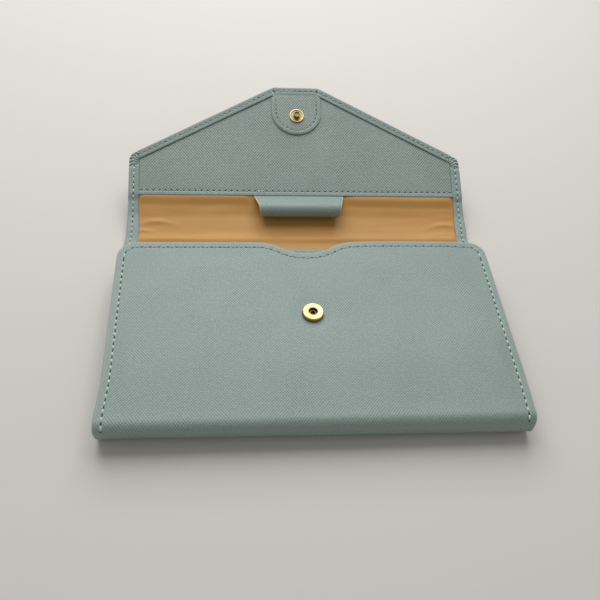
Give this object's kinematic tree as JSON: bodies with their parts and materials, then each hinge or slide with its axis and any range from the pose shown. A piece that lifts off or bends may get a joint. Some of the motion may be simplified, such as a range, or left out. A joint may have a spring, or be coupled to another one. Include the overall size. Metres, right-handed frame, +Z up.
{
  "type": "travel wallet",
  "caption": "Long folding travel wallet with an envelope flap, pen loop, press snap, passport pocket, card slots and a zipped coin pocket.",
  "frame": {"origin": "middle of the back panel's flat underside, on the table", "axes": "+X across the wallet, +Y from the bottom fold towards the flap's tip, +Z up from the table through the closed wallet"},
  "size_m": [0.2, 0.2214, 0.0416],
  "materials": {
    "cover_leather": "cross-hatched grain, satin",
    "pocket_leather": "cross-hatched grain, satin",
    "satin_lining": "satin weave",
    "stiffener_board": "matt",
    "pale_gold_metal": "polished pale gold plate",
    "clear_film": "clear film",
    "zip_tape": "woven tape"
  },
  "bodies": {
    "back": {"back_cover": "cover_leather", "back_board": "stiffener_board", "back_lining": "satin_lining", "coin_pocket_panel": "pocket_leather", "coin_pocket_band": "pocket_leather", "zip_tape": "zip_tape", "zip_teeth": "pale_gold_metal"},
    "bottom_strip": {"bottom_fold_cover": "cover_leather", "bottom_fold_lining": "satin_lining"},
    "front": {"front_cover": "cover_leather", "slip_pocket_panel": "pocket_leather", "front_board": "stiffener_board", "front_lining": "satin_lining", "card_slot_1": "pocket_leather", "card_slot_2": "pocket_leather", "card_slot_3": "pocket_leather", "id_window": "clear_film", "passport_pocket": "pocket_leather", "snap_socket": "pale_gold_metal", "snap_spring": "pale_gold_metal", "snap_rivet": "pale_gold_metal"},
    "spine": {"spine_cover": "cover_leather", "spine_lining": "satin_lining"},
    "flap": {"flap_cover": "cover_leather", "flap_board": "stiffener_board", "flap_lining": "satin_lining", "flap_pocket_panel": "pocket_leather", "snap_patch": "pocket_leather", "snap_stud": "pale_gold_metal", "snap_cap": "pale_gold_metal"},
    "pen_loop": {"pen_loop": "cover_leather"},
    "zip_slider": {"zip_slider": "pale_gold_metal"},
    "zip_pull": {"zip_pull": "pale_gold_metal"}
  },
  "joints": [
    {"name": "bottom_fold", "type": "hinge", "parent": "back", "child": "bottom_strip", "pos_m": [0, -0.06134, 0.00166], "axis": [1, 0, 0], "range_deg": [0, 90]},
    {"name": "front_fold", "type": "hinge", "parent": "bottom_strip", "child": "front", "pos_m": [0, -0.06134, 0.01384], "axis": [1, 0, 0], "range_deg": [0, 90]},
    {"name": "spine_fold", "type": "hinge", "parent": "back", "child": "spine", "pos_m": [0, 0.063, 0.0025], "axis": [1, 0, 0], "range_deg": [-11.4, 78]},
    {"name": "flap_fold", "type": "hinge", "parent": "spine", "child": "flap", "pos_m": [0, 0.08158, 0.00645], "axis": [1, 0, 0], "range_deg": [-11.4, 78]},
    {"name": "pen_loop_flex", "type": "hinge", "parent": "flap", "child": "pen_loop", "pos_m": [0, 0.09004, 0.01131], "axis": [-1, 0, 0], "range_deg": [-5.5, 37.5]},
    {"name": "zip_slide", "type": "slide", "parent": "back", "child": "zip_slider", "axis": [1, 0, 0], "range_m": [-0.1528, 0]},
    {"name": "zip_pull_swing", "type": "hinge", "parent": "zip_slider", "child": "zip_pull", "pos_m": [0.0789, 0.026, 0.0064], "axis": [0, 1, 0], "range_deg": [0, 16]}
  ],
  "couplings": [
    {"joint": "front_fold", "follows": "bottom_fold", "ratio": 1},
    {"joint": "flap_fold", "follows": "spine_fold", "ratio": 1},
    {"joint": "pen_loop_flex", "follows": "spine_fold", "ratio": 0.48}
  ]
}
